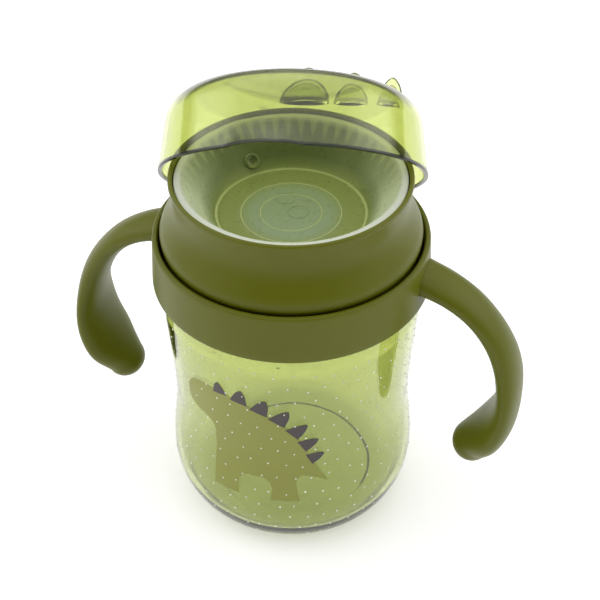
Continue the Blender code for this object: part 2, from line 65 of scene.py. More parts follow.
def newMaterial(name):
    made = bpy.data.materials.new(name)
    made.use_nodes = True
    tree = made.node_tree
    return made, tree, tree.nodes["Principled BSDF"], tree.nodes["Material Output"]


# a wire in the XZ plane from corners (radius, height, rounding) in mm
def drawProfile(corners, closed=False, roundingSteps=4, longest=1.6):
    grow = bmesh.new()
    verts = [grow.verts.new((r * mm, 0, z * mm)) for r, z, soft in corners]
    for a, b in zip(verts, verts[1:]):
        grow.edges.new((a, b))
    if closed:
        grow.edges.new((verts[-1], verts[0]))
    for soft in sorted({c[2] for c in corners if c[2] > 0}):
        rounded = [v for v, c in zip(verts, corners) if c[2] == soft]
        bmesh.ops.bevel(
            grow, geom=rounded, offset=soft * mm, offset_type="OFFSET", affect="VERTICES",
            segments=roundingSteps, profile=0.5, material=-1,
        )
    for edge in [e for e in grow.edges if e.calc_length() > longest * 1.5 * mm]:
        cuts = int(edge.calc_length() / (longest * mm))
        bmesh.ops.subdivide_edges(grow, edges=[edge], cuts=cuts)
    return grow


def spinProfile(grow, segments):
    bmesh.ops.spin(
        grow, geom=grow.verts[:] + grow.edges[:], cent=(0, 0, 0), axis=(0, 0, 1), dvec=(0, 0, 0),
        angle=math.tau, steps=segments, use_merge=True, use_duplicate=False,
    )
    bmesh.ops.remove_doubles(grow, verts=grow.verts, dist=0.002 * mm)
    bmesh.ops.recalc_face_normals(grow, faces=grow.faces)
    return grow


def meshObject(name, grow, material=None, sharpAngle=38):
    mesh = bpy.data.meshes.new(name)
    grow.to_mesh(mesh)
    grow.free()
    for face in mesh.polygons:
        face.use_smooth = True
    mesh.set_sharp_from_angle(angle=math.radians(sharpAngle))
    if material:
        mesh.materials.append(material)
    made = bpy.data.objects.new(name, mesh)
    bpy.context.scene.collection.objects.link(made)
    return made


def addPiece(piece, body, nodes=()):
    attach(piece, body)
    if nodes:
        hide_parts(*nodes)
    return piece


# joins or cuts a piece with a tool for good, and throws the tool away
def applyBoolean(piece, tool, operation, sharpAngle=38):
    modifier = piece.modifiers.new("shape", "BOOLEAN")
    modifier.operation = operation
    modifier.solver = "EXACT"
    modifier.object = tool
    graph = bpy.context.evaluated_depsgraph_get()
    shaped = bpy.data.meshes.new_from_object(piece.evaluated_get(graph))
    piece.modifiers.clear()
    piece.data = shaped
    for face in shaped.polygons:
        face.use_smooth = True
    shaped.set_sharp_from_angle(angle=math.radians(sharpAngle))
    bpy.data.objects.remove(tool)


def eased(t):
    return t * t * (3 - 2 * t)


# the place in mm, angles in degrees: azimuth round the cup from the front, pitch down, yaw past the cup
camera = {"place": (79.18, -229.58, 277.1), "azimuth": 19.03, "pitch": 40.55, "yaw": 0.557, "lens": 66.15}


def aimCamera():
    data = bpy.data.cameras.new("camera")
    data.lens = camera["lens"]
    data.sensor_width = 36
    data.clip_start = 0.01
    made = bpy.data.objects.new("camera", data)
    bpy.context.scene.collection.objects.link(made)
    made.location = Vector(camera["place"]) * mm
    heading = math.radians(camera["azimuth"] - camera["yaw"])
    made.rotation_euler = (math.radians(90 - camera["pitch"]), 0, heading)
    bpy.context.scene.camera = made


# a light tent: bright above and at both sides, dim at the horizon and towards the camera
studio = {
    "floor": "#FFFFFF", "backlight": 0.2, "low": 0.14, "zenith": 1.3, "side": 1.7, "frontLoss": 0.92,
    "softbox": 2.0,
}


def layFloor():
    material, tree, shader, output = newMaterial("studio floor paper")
    coords = addNode(tree, "ShaderNodeTexCoord")
    grain = addNode(tree, "ShaderNodeTexNoise", {"Scale": 900.0}, {"Vector": coords.outputs["Object"]})
    bump = addNode(tree, "ShaderNodeBump", {"Strength": 0.02, "Distance": 0.2 * mm},
                   {"Height": grain.outputs["Fac"]})
    shader.inputs["Base Color"].default_value = linear(studio["floor"])
    shader.inputs["Roughness"].default_value = 0.9
    shader.inputs["Specular IOR Level"].default_value = 0.1
    shader.inputs["Emission Color"].default_value = (1, 1, 1, 1)
    shader.inputs["Emission Strength"].default_value = studio["backlight"]
    tree.links.new(bump.outputs["Normal"], shader.inputs["Normal"])
    grow = bmesh.new()
    bmesh.ops.create_grid(grow, x_segments=8, y_segments=8, size=6.0)
    bmesh.ops.translate(grow, vec=(0, 0, -0.02 * mm), verts=grow.verts)
    floor = meshObject("floor", grow, material)


def addLight(name, place, target, size, power):
    data = bpy.data.lights.new(name, "AREA")
    data.shape = "RECTANGLE"
    data.size, data.size_y = size
    data.energy = power
    made = bpy.data.objects.new(name, data)
    bpy.context.scene.collection.objects.link(made)
    made.location = place
    made.rotation_euler = (Vector(target) - Vector(place)).to_track_quat("-Z", "Y").to_euler()


def lightStudio():
    world = bpy.data.worlds.new("studio")
    bpy.context.scene.world = world
    world.use_nodes = True
    tree = world.node_tree
    heading = math.radians(camera["azimuth"])
    right = (math.cos(heading), math.sin(heading), 0)
    front = (math.sin(heading), -math.cos(heading), 0)
    coords = addNode(tree, "ShaderNodeTexCoord")
    ray = coords.outputs["Generated"]
    axes = addNode(tree, "ShaderNodeSeparateXYZ", None, {0: ray})
    above = addNode(tree, "ShaderNodeMapRange", {
        "interpolation_type": "SMOOTHSTEP", "From Min": 0.05, "From Max": 0.8, "To Min": studio["low"],
        "To Max": studio["zenith"],
    }, {"Value": axes.outputs["Z"]})
    across = addNode(tree, "ShaderNodeVectorMath", {"operation": "DOT_PRODUCT", 1: right}, {0: ray})
    width = addNode(tree, "ShaderNodeMath", {"operation": "ABSOLUTE"}, {0: across.outputs["Value"]})
    side = addNode(tree, "ShaderNodeMapRange", {
        "interpolation_type": "SMOOTHSTEP", "From Min": 0.6, "From Max": 0.95, "To Max": studio["side"],
    }, {"Value": width.outputs["Value"]})
    lifted = addNode(tree, "ShaderNodeMapRange", {
        "interpolation_type": "SMOOTHSTEP", "From Min": 0.08, "From Max": 0.3,
    }, {"Value": axes.outputs["Z"]})
    boxes = addNode(tree, "ShaderNodeMath", {"operation": "MULTIPLY"},
                    {0: side.outputs["Result"], 1: lifted.outputs["Result"]})
    total = addNode(tree, "ShaderNodeMath", {"operation": "ADD"},
                    {0: above.outputs["Result"], 1: boxes.outputs["Value"]})
    facing = addNode(tree, "ShaderNodeVectorMath", {"operation": "DOT_PRODUCT", 1: front}, {0: ray})
    loss = addNode(tree, "ShaderNodeMapRange", {
        "interpolation_type": "SMOOTHSTEP", "From Min": 0.2, "From Max": 0.9, "To Min": 1.0,
        "To Max": 1 - studio["frontLoss"],
    }, {"Value": facing.outputs["Value"]})
    light = addNode(tree, "ShaderNodeMath", {"operation": "MULTIPLY"},
                    {0: total.outputs["Value"], 1: loss.outputs["Result"]})
    background = tree.nodes["Background"]
    background.inputs["Color"].default_value = (1, 1, 1, 1)
    tree.links.new(light.outputs["Value"], background.inputs["Strength"])
    addLight("softboxTop", (-0.5, 0.5, 1.6), (0, 0, 0.05), (1.6, 1.6), studio["softbox"])
    bpy.context.scene.view_settings.view_transform = "Standard"


aimCamera()
layFloor()
lightStudio()
print("camera, floor and lights placed")


# Copolyester, injection moulded and clear: a soft yellow-green tint with no grain, polished tool faces,
# a slow ripple where the melt met the cool steel, and a darker edge colour where the eye looks along the
# wall, partly the deeper tint there and partly painted shade for the dark things it reflects.
clearPlastic = {
    # edge is a painted darker colour at grazing angles: partly the deeper tint along the wall, partly
    # painted shade for dark reflections
    "tint": "#CFD698", "edge": "#656D3A", "edgeShadeFrom": 0.78, "edgeShadeTo": 0.98, "shadow": "#F6F7F2",
    "ior": 1.54, "rippleMm": 9.0, "rippleHeight": 0.03,
}


# painted shade for light held in a clear wall: a dark surface mixed in as dark lines along its open edge,
# round the foot of each fin, and at a corner that turns up out of sight; marks are in mm along the piece's
# own axis
def paintTrappedShade(tree, surface, spot, facing, marks):
    height = addNode(tree, "ShaderNodeVectorMath", {"operation": "DOT_PRODUCT", 1: marks["axis"]},
                     {0: spot})
    shares = []
    for low, high, soft, strength in marks["bands"]:
        rise = addNode(tree, "ShaderNodeMapRange",
                       {"From Min": (low - soft) * mm, "From Max": (low + soft) * mm, "To Max": strength},
                       {"Value": height.outputs["Value"]})
        fall = addNode(tree, "ShaderNodeMapRange",
                       {"From Min": (high - soft) * mm, "From Max": (high + soft) * mm,
                        "To Min": 1.0, "To Max": 0.0},
                       {"Value": height.outputs["Value"]})
        band = addNode(tree, "ShaderNodeMath", {"operation": "MULTIPLY"},
                       {0: rise.outputs["Result"], 1: fall.outputs["Result"]})
        shares.append(band.outputs["Value"])
    geometry = addNode(tree, "ShaderNodeNewGeometry")
    upward = addNode(tree, "ShaderNodeVectorMath", {"operation": "DOT_PRODUCT", 1: (0, 0, 1)},
                     {0: geometry.outputs["Normal"]})
    up = addNode(tree, "ShaderNodeMapRange", {"From Min": 0.5, "From Max": 0.75, "To Max": marks["corner"]},
                 {"Value": upward.outputs["Value"]})
    grazing = addNode(tree, "ShaderNodeMapRange", {"From Min": 0.56, "From Max": 0.7}, {"Value": facing})
    corner = addNode(tree, "ShaderNodeMath", {"operation": "MULTIPLY"},
                     {0: up.outputs["Result"], 1: grazing.outputs["Result"]})
    shares.append(corner.outputs["Value"])
    share = shares[0]
    for other in shares[1:]:
        larger = addNode(tree, "ShaderNodeMath", {"operation": "MAXIMUM"}, {0: share, 1: other})
        share = larger.outputs["Value"]
    # the painted shade itself: a dark glossy surface mixed over the clear one
    dark = addNode(tree, "ShaderNodeBsdfPrincipled",
                   {"Base Color": linear(marks["colour"]), "Roughness": 0.15})
    mix = addNode(tree, "ShaderNodeMixShader", None, {0: share, 1: surface, 2: dark.outputs["BSDF"]})
    return mix.outputs["Shader"]


def clearCopolyester(name, look):
    material, tree, shader, output = newMaterial(name)
    coords = addNode(tree, "ShaderNodeTexCoord")
    spot = coords.outputs["Object"]
    ripple = addNode(tree, "ShaderNodeTexNoise", {"Scale": 1000 / look["rippleMm"], "Detail": 1.0},
                     {"Vector": spot})
    bump = addNode(tree, "ShaderNodeBump", {"Strength": 0.35, "Distance": look["rippleHeight"] * mm},
                   {"Height": ripple.outputs["Fac"]})
    haze = addNode(tree, "ShaderNodeTexNoise", {"Scale": 160.0, "Detail": 3.0}, {"Vector": spot})
    rough = addNode(tree, "ShaderNodeMapRange",
                    {"From Min": 0.35, "From Max": 0.7, "To Min": 0.01, "To Max": 0.04},
                    {"Value": haze.outputs["Fac"]})
    weight = addNode(tree, "ShaderNodeLayerWeight", {"Blend": 0.5})
    # painted shade: the tint turns to the edge colour where the eye grazes the wall, partly real deepening,
    # partly painted dark reflections
    along = addNode(tree, "ShaderNodeMapRange", {
        "interpolation_type": "SMOOTHSTEP", "From Min": look["edgeShadeFrom"], "From Max": look["edgeShadeTo"],
    }, {"Value": weight.outputs["Facing"]})
    colour = addNode(tree, "ShaderNodeMix",
                     {"data_type": "RGBA", 6: linear(look["tint"]), 7: linear(look["edge"])},
                     {0: along.outputs["Result"]})
    shader.inputs["Transmission Weight"].default_value = 1.0
    shader.inputs["IOR"].default_value = look["ior"]
    tree.links.new(colour.outputs[2], shader.inputs["Base Color"])
    tree.links.new(rough.outputs["Result"], shader.inputs["Roughness"])
    tree.links.new(bump.outputs["Normal"], shader.inputs["Normal"])
    surface = shader.outputs["BSDF"]
    # painted shade: dark bands and a dark up-turned corner mixed over the clear surface
    if "trapped" in look:
        surface = paintTrappedShade(tree, surface, spot, weight.outputs["Facing"], look["trapped"])
    path = addNode(tree, "ShaderNodeLightPath")
    through = addNode(tree, "ShaderNodeBsdfTransparent", {"Color": linear(look["shadow"])})
    mix = addNode(tree, "ShaderNodeMixShader", None,
                  {0: path.outputs["Is Shadow Ray"], 1: surface, 2: through.outputs["BSDF"]})
    tree.links.new(mix.outputs["Shader"], output.inputs["Surface"])
    return material


# Polypropylene, injection moulded in a spark-eroded tool: an even olive with a fine satin grain.
olivePlastic = {
    "light": "#62660A", "dark": "#5A5E07", "grainMm": 0.35, "rough": (0.34, 0.44), "gloss": 0.25,
}


def mouldedPolypropylene(name, look):
    material, tree, shader, output = newMaterial(name)
    coords = addNode(tree, "ShaderNodeTexCoord")
    grain = addNode(tree, "ShaderNodeTexNoise", {"Scale": 1000 / look["grainMm"], "Detail": 2.0},
                    {"Vector": coords.outputs["Object"]})
    cloud = addNode(tree, "ShaderNodeTexNoise", {"Scale": 55.0, "Detail": 3.0},
                    {"Vector": coords.outputs["Object"]})
    colour = addNode(tree, "ShaderNodeMix",
                     {"data_type": "RGBA", 6: linear(look["dark"]), 7: linear(look["light"])},
                     {0: cloud.outputs["Fac"]})
    low, high = look["rough"]
    rough = addNode(tree, "ShaderNodeMapRange",
                    {"From Min": 0.3, "From Max": 0.7, "To Min": low, "To Max": high},
                    {"Value": grain.outputs["Fac"]})
    bump = addNode(tree, "ShaderNodeBump", {"Strength": 0.22, "Distance": 0.03 * mm},
                   {"Height": grain.outputs["Fac"]})
    shader.inputs["IOR"].default_value = 1.49
    shader.inputs["Specular IOR Level"].default_value = look["gloss"]
    tree.links.new(colour.outputs[2], shader.inputs["Base Color"])
    tree.links.new(rough.outputs["Result"], shader.inputs["Roughness"])
    tree.links.new(bump.outputs["Normal"], shader.inputs["Normal"])
    return material


# Liquid silicone rubber, moulded and uncoloured: milky, greyer in the disc, pale at the lip and along each
# moulded line.
# Painted light and shade: the green tint of the floor ring and the dark of the thin cone are painted
# show-through and shade of the green pieces behind it, the pale haze where the eye grazes it is a painted
# sheen, and the slots in the carrier are painted through the cone as a row of light teeth.
siliconeLook = {
    "disc": "#8A9A80", "floor": "#838E55", "cone": "#59653A", "line": "#B3BB86", "teeth": "#9DA86F",
    "haze": "#D3DBC0", "lip": "#C6CBBC", "ior": 1.41, "teethCount": 48, "teethLightShare": 0.5, "sheenShare": 0.85,
    # radii in mm where each colour starts and is whole
    "reach": {"floor": (10.7, 15.2), "cone": (20.4, 23.1), "teeth": (24.3, 28.6), "haze": (21.1, 24.6),
              "lip": (28.2, 29.6)},
    # radius and half width of each moulded line
    "lines": [(13.7, 0.3), (8.4, 0.2), (20.4, 0.45)],
}


def liquidSilicone(name, look):
    material, tree, shader, output = newMaterial(name)
    coords = addNode(tree, "ShaderNodeTexCoord")
    spot = coords.outputs["Object"]
    flat = addNode(tree, "ShaderNodeVectorMath", {"operation": "MULTIPLY", 1: (1, 1, 0)}, {0: spot})
    radius = addNode(tree, "ShaderNodeVectorMath", {"operation": "LENGTH"}, {0: flat.outputs["Vector"]})
    shares = {}
    for part, (start, whole) in look["reach"].items():
        share = addNode(tree, "ShaderNodeMapRange", {"From Min": start * mm, "From Max": whole * mm},
                        {"Value": radius.outputs["Value"]})
        shares[part] = share.outputs["Result"]
    # the floor and cone tints are painted show-through and painted shade of the green pieces behind
    layers = [(shares["floor"], "floor"), (shares["cone"], "cone")]
    for lineR, wide in look["lines"]:
        offset = addNode(tree, "ShaderNodeMath", {"operation": "SUBTRACT", 1: lineR * mm},
                         {0: radius.outputs["Value"]})
        away = addNode(tree, "ShaderNodeMath", {"operation": "ABSOLUTE"}, {0: offset.outputs["Value"]})
        near = addNode(tree, "ShaderNodeMapRange", {"From Min": wide * mm, "From Max": wide * 0.3 * mm},
                       {"Value": away.outputs["Value"]})
        layers.append((near.outputs["Result"], "line"))
    # painted light: a row of light teeth where the carrier's slots let light through the cone
    axes = addNode(tree, "ShaderNodeSeparateXYZ", None, {0: spot})
    turn = addNode(tree, "ShaderNodeMath", {"operation": "ARCTAN2"},
                   {0: axes.outputs["Y"], 1: axes.outputs["X"]})
    turns = addNode(tree, "ShaderNodeMath", {"operation": "MULTIPLY", 1: look["teethCount"]},
                    {0: turn.outputs["Value"]})
    wave = addNode(tree, "ShaderNodeMath", {"operation": "SINE"}, {0: turns.outputs["Value"]})
    limit = addNode(tree, "ShaderNodeMath", {"operation": "MULTIPLY_ADD", 1: 0.5, 2: 0.8},
                    {0: wave.outputs["Value"]})
    width = addNode(tree, "ShaderNodeMath", {"operation": "MULTIPLY", 1: 1.1}, {0: shares["teeth"]})
    tooth = addNode(tree, "ShaderNodeMath", {"operation": "SUBTRACT"},
                    {0: width.outputs["Value"], 1: limit.outputs["Value"]})
    paintedTeethLight = addNode(tree, "ShaderNodeMapRange", {"From Max": 0.35, "To Max": look["teethLightShare"]},
                    {"Value": tooth.outputs["Value"]})
    layers.append((paintedTeethLight.outputs["Result"], "teeth"))
    # painted sheen: a pale haze where the eye grazes the cone
    weight = addNode(tree, "ShaderNodeLayerWeight", {"Blend": 0.5})
    paintedSheen = addNode(tree, "ShaderNodeMapRange",
                     {"From Min": 0.2, "From Max": 0.7, "To Max": look["sheenShare"]},
                     {"Value": weight.outputs["Facing"]})
    haze = addNode(tree, "ShaderNodeMath", {"operation": "MULTIPLY"},
                   {0: paintedSheen.outputs["Result"], 1: shares["haze"]})
    layers += [(haze.outputs["Value"], "haze"), (shares["lip"], "lip")]
    colour = None
    for share, tint in layers:
        below = {} if colour is None else {6: colour}
        mix = addNode(tree, "ShaderNodeMix",
                      {"data_type": "RGBA", 6: linear(look["disc"]), 7: linear(look[tint])},
                      {0: share, **below})
        colour = mix.outputs[2]
    grain = addNode(tree, "ShaderNodeTexNoise", {"Scale": 700.0, "Detail": 2.0}, {"Vector": spot})
    bump = addNode(tree, "ShaderNodeBump", {"Strength": 0.08, "Distance": 0.01 * mm},
                   {"Height": grain.outputs["Fac"]})
    rough = addNode(tree, "ShaderNodeMapRange",
                    {"From Min": 0.3, "From Max": 0.7, "To Min": 0.26, "To Max": 0.34},
                    {"Value": grain.outputs["Fac"]})
    shader.inputs["IOR"].default_value = look["ior"]
    tree.links.new(colour, shader.inputs["Base Color"])
    tree.links.new(rough.outputs["Result"], shader.inputs["Roughness"])
    tree.links.new(bump.outputs["Normal"], shader.inputs["Normal"])
    return material


# Pad-printed ink, cured on the plastic: flat colour, a slight satin, thin places where the pad lifted.
def padPrintedInk(name, main, worn):
    material, tree, shader, output = newMaterial(name)
    coords = addNode(tree, "ShaderNodeTexCoord")
    cloud = addNode(tree, "ShaderNodeTexNoise", {"Scale": 120.0, "Detail": 4.0},
                    {"Vector": coords.outputs["Object"]})
    colour = addNode(tree, "ShaderNodeMix", {"data_type": "RGBA", 6: linear(main), 7: linear(worn)},
                     {0: cloud.outputs["Fac"]})
    rough = addNode(tree, "ShaderNodeMapRange",
                    {"From Min": 0.3, "From Max": 0.7, "To Min": 0.32, "To Max": 0.45},
                    {"Value": cloud.outputs["Fac"]})
    tree.links.new(colour.outputs[2], shader.inputs["Base Color"])
    tree.links.new(rough.outputs["Result"], shader.inputs["Roughness"])
    return material


bodyClear = clearCopolyester("body copolyester, clear green", clearPlastic)
collarOlive = mouldedPolypropylene("collar polypropylene, olive", olivePlastic)
ringOlive = mouldedPolypropylene("ring polypropylene, olive", olivePlastic)
carrierLook = dict(olivePlastic, light="#A3AE6E", dark="#959F62")
carrierGreen = mouldedPolypropylene("carrier polypropylene, green", carrierLook)
silicone = liquidSilicone("liquid silicone, milky", siliconeLook)
inkOlive = padPrintedInk("pad ink, olive", "#868A2C", "#8C9032")
inkDark = padPrintedInk("pad ink, dark brown", "#352B2B", "#3D3230")
# painted highlight: white for the small dots, standing in for the light they catch
dotHighlightWhite = padPrintedInk("dot white, painted highlight", "#FFFFFF", "#F6F8EC")
print("materials mixed")


cup = {
    "segments": 144, "baseR": 26.79, "bellyR": 37.44, "bellyZ": 16.6, "waistR": 35.44, "waistZ": 41.0,
    "shoulderR": 37.1, "shoulderZ": 80.8, "wall": 1.8, "floor": 3.8, "recessR": 25.19, "recessDepth": 0.8,
    "neckR": 31.5, "neckWall": 1.9, "neckTop": 96.3, "slope": 6.3, "soft": 1.8, "steps": 14,
}


def cupRadius(z):
    if z < cup["bellyZ"]:
        drop = 1 - z / cup["bellyZ"]
        return cup["baseR"] + (cup["bellyR"] - cup["baseR"]) * math.sqrt(max(0.0, 1 - drop * drop))
    if z < cup["waistZ"]:
        share = (z - cup["bellyZ"]) / (cup["waistZ"] - cup["bellyZ"])
        return cup["bellyR"] + (cup["waistR"] - cup["bellyR"]) * eased(share)
    share = min(1.0, (z - cup["waistZ"]) / (cup["shoulderZ"] - cup["waistZ"]))
    return cup["waistR"] + (cup["shoulderR"] - cup["waistR"]) * eased(share)


def buildCupBody():
    wall, steps = cup["wall"], cup["steps"]
    slopeZ = cup["shoulderZ"] - cup["slope"]
    boreR = cup["neckR"] - cup["neckWall"]
    corners = [(0, cup["floor"], 0), (cupRadius(cup["floor"]) - wall, cup["floor"], 6.0)]
    for share in (0.62, 0.8, 1.0):
        corners.append((cupRadius(cup["bellyZ"] * share) - wall, cup["bellyZ"] * share, 0))
    for i in range(1, 2 * steps):
        z = cup["bellyZ"] + (slopeZ - cup["bellyZ"]) * i / (2 * steps)
        corners.append((cupRadius(z) - wall, z, 0))
    corners += [
        (cupRadius(slopeZ) - wall, slopeZ, cup["soft"]), (boreR, cup["shoulderZ"] - 1.75, cup["soft"]),
        (boreR, cup["neckTop"], 0.76), (cup["neckR"], cup["neckTop"], 0.76),
        (cup["neckR"], cup["shoulderZ"], 0), (cup["shoulderR"], cup["shoulderZ"], cup["soft"]),
    ]
    low, high = cup["bellyZ"], cup["shoulderZ"] - 2.2
    for i in range(2 * steps + 1):
        z = high - (high - low) * i / (2 * steps)
        corners.append((cupRadius(z), z, 0))
    for i in range(1, steps):
        swing = math.pi / 2 * i / steps
        radius = cup["baseR"] + (cup["bellyR"] - cup["baseR"]) * math.cos(swing)
        corners.append((radius, low * (1 - math.sin(swing)), 0))
    corners += [
        (cup["baseR"], 0, 0), (cup["recessR"], 0, 0.15),
        (cup["recessR"] - cup["recessDepth"], cup["recessDepth"], 0.2), (0, cup["recessDepth"], 0),
    ]
    grow = spinProfile(drawProfile(corners, roundingSteps=5, longest=3.0), cup["segments"])
    return addPiece(meshObject("cupBody", grow, bodyClear), "cup", ["cup_body"])


thread = {
    "pitch": 4.0, "foot": 1.9, "crest": 0.9, "depth": 1.0, "sunk": 0.3, "turns": 1.125, "startZ": 87.3,
    "facets": 96,
}


def buildThread(name, rootR, crestR, startZ, turns, body, material):
    grow = bmesh.new()
    corners = [(rootR, -thread["foot"] / 2), (crestR, -thread["crest"] / 2),
               (crestR, thread["crest"] / 2), (rootR, thread["foot"] / 2)]
    face = grow.faces.new([grow.verts.new((r * mm, 0, (startZ + z) * mm)) for r, z in corners])
    steps = round(thread["facets"] * turns)
    bmesh.ops.spin(
        grow, geom=[face, *face.edges, *face.verts], cent=(0, 0, 0), axis=(0, 0, 1),
        dvec=(0, 0, thread["pitch"] * mm * turns / steps), angle=math.tau * turns, steps=steps,
        use_merge=False, use_duplicate=False,
    )
    bmesh.ops.recalc_face_normals(grow, faces=grow.faces)
    return addPiece(meshObject(name, grow, material), body)


# small raised dots on the wall, in loose rows round the body, in white: the white is a painted highlight for
# the light the small clear bumps catch
dots = {
    "radius": 0.3, "height": 0.16, "spacing": 5.2, "low": 4.0, "high": 78.0, "jitter": 1.0, "aroundR": 37.0,
    "seed": 7,
}


def buildDots():
    random.seed(dots["seed"])
    across = Matrix.Diagonal((dots["radius"] * mm, dots["radius"] * mm, dots["height"] * mm, 1))
    grow = bmesh.new()
    rows = int((dots["high"] - dots["low"]) / dots["spacing"])
    for row in range(rows):
        around = int(math.tau * dots["aroundR"] / dots["spacing"])
        for i in range(around):
            z = dots["low"] + (row + 0.5) * dots["spacing"] + random.uniform(-1, 1) * dots["jitter"]
            turn = math.tau * (i + 0.5 * (row % 2)) / around
            turn += random.uniform(-1, 1) * dots["jitter"] / dots["aroundR"]
            radius = cupRadius(z)
            slope = (cupRadius(z + 0.2) - cupRadius(z - 0.2)) / 0.4
            out = Vector((math.cos(turn), math.sin(turn), -slope)).normalized()
            spot = Vector((radius * math.cos(turn), radius * math.sin(turn), z)) * mm
            made = bmesh.ops.create_uvsphere(grow, u_segments=8, v_segments=4, radius=1.0)["verts"]
            place = Matrix.Translation(spot) @ out.to_track_quat("Z", "Y").to_matrix().to_4x4() @ across
            bmesh.ops.transform(grow, matrix=place, verts=made)
    return addPiece(meshObject("bodyDots", grow, dotHighlightWhite, 80), "cup")


buildCupBody()
buildThread("neckThread", cup["neckR"] - thread["sunk"], cup["neckR"] + thread["depth"], thread["startZ"],
            thread["turns"], "cup", bodyClear)
buildDots()
print("cup body turned")


# a plain dinosaur outline, in mm across and up from the middle of the front, with a row of plates
motif = {
    "middle": (0.0, 45.5), "lift": 0.06, "cell": 1.5, "cells": 20, "wrapR": 36.4, "ink": 0.04,
    "outline": [
        (-22.2, 9.4), (-21.2, 13.8), (-17.0, 16.8), (-11.0, 17.6), (-4.0, 16.4), (3.6, 13.4), (10.2, 8.6),
        (14.8, 2.0), (17.8, -5.4), (22.4, -14.8, 1), (17.2, -12.2), (14.2, -12.0), (14.0, -21.6, 1),
        (5.6, -21.6, 1), (5.2, -14.6), (0.6, -13.2), (-3.4, -14.6), (-4.0, -21.6, 1), (-12.4, -21.6, 1),
        (-12.4, -12.0), (-12.0, -4.0), (-12.6, 1.6), (-15.4, 3.8), (-19.4, 4.6), (-21.8, 6.2),
    ],
    # along and up, direction in degrees, width and height of each plate
    "plates": [
        (-9.0, 17.4, 96, 4.6, 3.4), (-3.0, 16.3, 80, 5.2, 4.4), (2.8, 13.9, 68, 5.4, 5.0),
        (8.0, 10.6, 56, 5.6, 5.2), (12.4, 5.9, 42, 5.4, 5.0), (15.4, 0.6, 30, 5.0, 4.6),
        (17.6, -5.0, 26, 4.6, 4.0),
    ],
}


# a flat outline, filled, cut into small cells and laid on the cup's wall
def layOnCup(name, splines, material, lift):
    curve = bpy.data.curves.new(name, "CURVE")
    curve.dimensions = "2D"
    curve.fill_mode = "BOTH"
    curve.resolution_u = 8
    for points in splines:
        spline = curve.splines.new("BEZIER")
        spline.bezier_points.add(len(points) - 1)
        spline.use_cyclic_u = True
        for knot, point in zip(spline.bezier_points, points):
            knot.co = (point[0], point[1], 0)
            corner = len(point) > 2
            knot.handle_left_type = knot.handle_right_type = "VECTOR" if corner else "AUTO"
    drawn = bpy.data.objects.new(name, curve)
    bpy.context.scene.collection.objects.link(drawn)
    graph = bpy.context.evaluated_depsgraph_get()
    flat = bpy.data.meshes.new_from_object(drawn.evaluated_get(graph))
    bpy.data.objects.remove(drawn)
    grow = bmesh.new()
    grow.from_mesh(flat)
    bmesh.ops.remove_doubles(grow, verts=grow.verts, dist=0.001)
    bmesh.ops.dissolve_limit(grow, angle_limit=0.001, verts=grow.verts, edges=grow.edges)
    for axis in (Vector((1, 0, 0)), Vector((0, 1, 0))):
        for i in range(-motif["cells"], motif["cells"] + 1):
            bmesh.ops.bisect_plane(grow, geom=grow.verts[:] + grow.edges[:] + grow.faces[:],
                                   plane_co=axis * i * motif["cell"], plane_no=axis)
    for vert in grow.verts:
        across, up = vert.co.x + motif["middle"][0], vert.co.y + motif["middle"][1]
        turn = across / motif["wrapR"] - math.pi / 2
        radius = cupRadius(up) + lift
        vert.co = Vector((radius * math.cos(turn), radius * math.sin(turn), up)) * mm
    bmesh.ops.recalc_face_normals(grow, faces=grow.faces)
    if sum(f.normal.y for f in grow.faces) > 0:
        bmesh.ops.reverse_faces(grow, faces=grow.faces)
    bmesh.ops.solidify(grow, geom=grow.faces, thickness=motif["ink"] * mm)
    return addPiece(meshObject(name, grow, material), "cup")


def printMotif():
    layOnCup("printDinosaur", [motif["outline"]], inkOlive, motif["lift"])
    plates = []
    for x, y, turn, wide, tall in motif["plates"]:
        spin = math.radians(turn - 90)
        shape = ((-wide / 2, -0.9, 1), (-wide * 0.16, tall * 0.86), (0.0, tall), (wide * 0.16, tall * 0.86),
                 (wide / 2, -0.9, 1))
        plates.append([(x + p[0] * math.cos(spin) - p[1] * math.sin(spin),
                        y + p[0] * math.sin(spin) + p[1] * math.cos(spin), *p[2:]) for p in shape])
    layOnCup("printPlates", plates, inkDark, 2 * motif["lift"])


printMotif()
print("print laid on the front")


collar = {
    "bottomZ": 81.1, "height": 14.3, "topR": 38.2, "bottomR": 39.2, "topWidth": 1.4, "boreR": 36.5,
    "flangeR": 33.1, "flange": 2.0, "soft": 0.7,
}
# out from the collar's lower edge, down from its middle, half thickness, half width
handle = {
    "stations": [
        (-2.0, 0.0, 3.9, 6.9), (5.6, 2.7, 3.4, 6.7), (12.5, 7.0, 3.3, 6.6), (18.2, 13.0, 3.4, 6.6),
        (22.5, 20.1, 3.6, 7.1), (25.2, 27.9, 3.6, 8.5), (26.2, 36.0, 3.6, 10.6), (25.4, 44.1, 4.3, 11.3),
        (22.5, 51.6, 5.2, 10.8), (18.0, 58.5, 6.0, 6.8),
    ],
    "steps": 4, "sides": 36, "tip": 6.0, "tipSteps": 8,
}


def smoothThrough(points, steps):
    spots = [Vector(p) for p in points]
    spots = [spots[0] * 2 - spots[1], *spots, spots[-1] * 2 - spots[-2]]
    made = []
    for i in range(1, len(spots) - 2):
        a, b, c, d = spots[i - 1 : i + 3]
        for step in range(steps):
            t = step / steps
            square = (a * 2 - b * 5 + c * 4 - d) * t * t
            cube = (b * 3 - a - c * 3 + d) * t ** 3
            made.append((b * 2 + (c - a) * t + square + cube) / 2)
    return [*made, spots[-2]]


